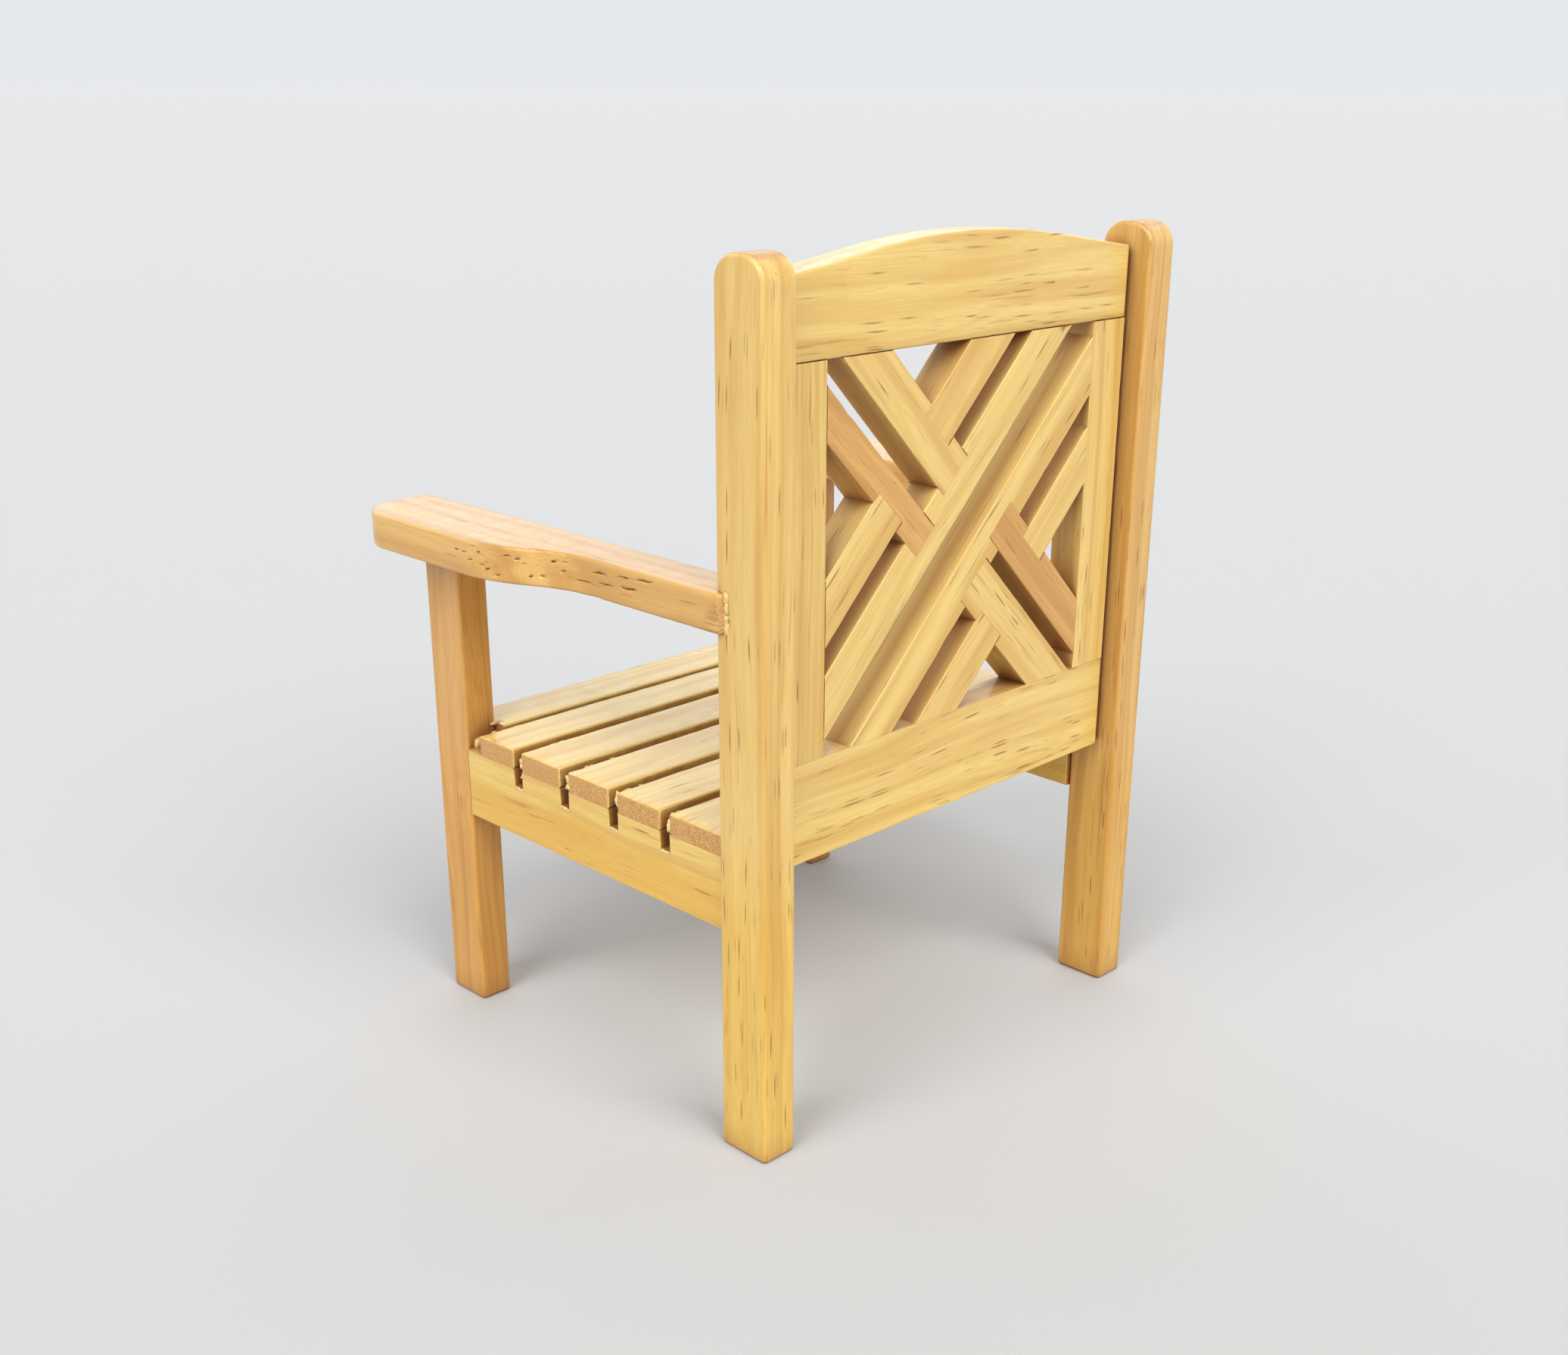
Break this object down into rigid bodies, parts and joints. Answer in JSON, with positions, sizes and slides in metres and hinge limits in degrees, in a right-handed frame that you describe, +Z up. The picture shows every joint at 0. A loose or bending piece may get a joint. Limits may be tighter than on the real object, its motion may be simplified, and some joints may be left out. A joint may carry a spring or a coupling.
{
  "type": "miniature garden armchair",
  "caption": "Miniature slatted garden armchair with straight legs, flared flat arms and a lattice back under an arched crest rail, in clear-finished pale wood.",
  "frame": {"origin": "on the surface that the four feet stand on, under the middle of the whole chair's footprint", "axes": "+Z up, the sitter faces -Y with the back panel at +Y, and +X is the sitter's left"},
  "size_m": [0.072, 0.0602, 0.0907],
  "materials": {
    "rear_post": "clear satin lacquer",
    "front_post": "clear satin lacquer",
    "side_rail": "clear satin lacquer",
    "arm": "clear satin lacquer",
    "seat_slat": "clear satin lacquer",
    "front_apron": "clear satin lacquer",
    "crest_rail": "clear satin lacquer",
    "lower_back_rail": "clear satin lacquer",
    "back_stile": "clear satin lacquer",
    "lattice": "clear satin lacquer"
  },
  "bodies": {
    "root": {"arm_left": "arm", "arm_right": "arm", "back_stile_left": "back_stile", "back_stile_right": "back_stile", "crest_rail": "crest_rail", "front_apron": "front_apron", "front_post_left": "front_post", "front_post_right": "front_post", "lattice_cross_base_bar": "lattice", "lattice_cross_left_bar": "lattice", "lattice_cross_right_bar": "lattice", "lattice_cross_top_bar": "lattice", "lattice_long_lower_bar": "lattice", "lattice_long_upper_bar": "lattice", "lattice_short_base_bar": "lattice", "lattice_short_left_bar": "lattice", "lattice_short_right_bar": "lattice", "lattice_short_top_bar": "lattice", "lower_back_rail": "lower_back_rail", "rear_post_left": "rear_post", "rear_post_right": "rear_post", "seat_slat_1": "seat_slat", "seat_slat_2": "seat_slat", "seat_slat_3": "seat_slat", "seat_slat_4": "seat_slat", "seat_slat_5": "seat_slat", "seat_slat_6": "seat_slat", "side_rail_left": "side_rail", "side_rail_right": "side_rail"}
  },
  "joints": []
}
